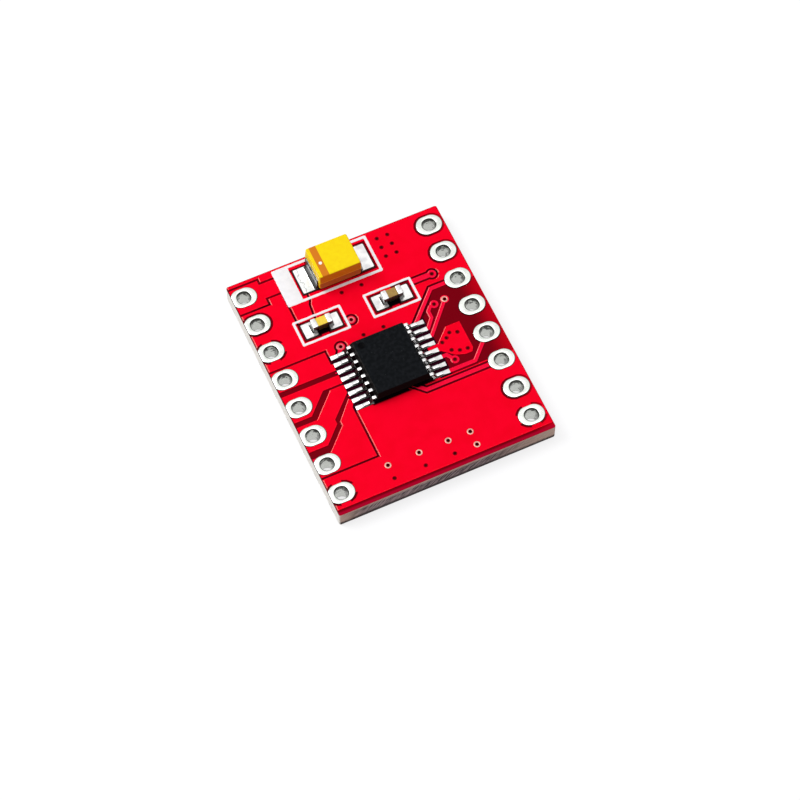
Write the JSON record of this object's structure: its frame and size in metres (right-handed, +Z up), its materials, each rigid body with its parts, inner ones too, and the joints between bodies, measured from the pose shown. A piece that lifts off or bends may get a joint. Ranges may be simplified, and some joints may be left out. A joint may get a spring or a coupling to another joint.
{
  "type": "dc motor driver module",
  "caption": "Small red circuit board with two rows of plated header holes, a driver chip, a yellow tantalum capacitor and two ceramic chip capacitors.",
  "frame": {"origin": "centre of the board's outline in plan, on the plane of the lower faces of the plated lands", "axes": "+Z up from the components' side of the board, +Y along the rows of holes towards the tantalum capacitor, +X across the board to the row on the right"},
  "size_m": [0.0174, 0.0208, 0.0036],
  "materials": {
    "solder_mask": "glossy red lacquer",
    "tinned_copper": "bright solder",
    "tinned_lead": "bright tin plating",
    "moulding_compound": "fine matt",
    "tantalum_case": "satin",
    "ceramic_left": "fired, satin",
    "ceramic_right": "fired, satin",
    "white_ink": "printed ink"
  },
  "bodies": {
    "root": {"board": "solder_mask", "plated_hole_left_1": "tinned_copper", "plated_hole_left_2": "tinned_copper", "plated_hole_left_3": "tinned_copper", "plated_hole_left_4": "tinned_copper", "plated_hole_left_5": "tinned_copper", "plated_hole_left_6": "tinned_copper", "plated_hole_left_7": "tinned_copper", "plated_hole_left_8": "tinned_copper", "plated_hole_right_1": "tinned_copper", "plated_hole_right_2": "tinned_copper", "plated_hole_right_3": "tinned_copper", "plated_hole_right_4": "tinned_copper", "plated_hole_right_5": "tinned_copper", "plated_hole_right_6": "tinned_copper", "plated_hole_right_7": "tinned_copper", "plated_hole_right_8": "tinned_copper", "chip_body": "moulding_compound", "chip_lead_left_1": "tinned_lead", "chip_lead_left_2": "tinned_lead", "chip_lead_left_3": "tinned_lead", "chip_lead_left_4": "tinned_lead", "chip_lead_left_5": "tinned_lead", "chip_lead_left_6": "tinned_lead", "chip_lead_left_7": "tinned_lead", "chip_lead_left_8": "tinned_lead", "chip_lead_right_1": "tinned_lead", "chip_lead_right_2": "tinned_lead", "chip_lead_right_3": "tinned_lead", "chip_lead_right_4": "tinned_lead", "chip_lead_right_5": "tinned_lead", "chip_lead_right_6": "tinned_lead", "chip_lead_right_7": "tinned_lead", "chip_lead_right_8": "tinned_lead", "tantalum_body": "tantalum_case", "tantalum_terminal_left": "tinned_lead", "tantalum_terminal_right": "tinned_lead", "tantalum_land_left": "tinned_copper", "tantalum_land_right": "tinned_copper", "ceramic_left_body": "ceramic_left", "ceramic_left_cap_left": "tinned_lead", "ceramic_left_cap_right": "tinned_lead", "ceramic_left_land_left": "tinned_copper", "ceramic_left_land_right": "tinned_copper", "ceramic_right_body": "ceramic_right", "ceramic_right_cap_left": "tinned_lead", "ceramic_right_cap_right": "tinned_lead", "ceramic_right_land_left": "tinned_copper", "ceramic_right_land_right": "tinned_copper", "ink_frame_ceramic_left": "white_ink", "ink_frame_ceramic_right": "white_ink", "ink_frame_tantalum": "white_ink"}
  },
  "joints": []
}
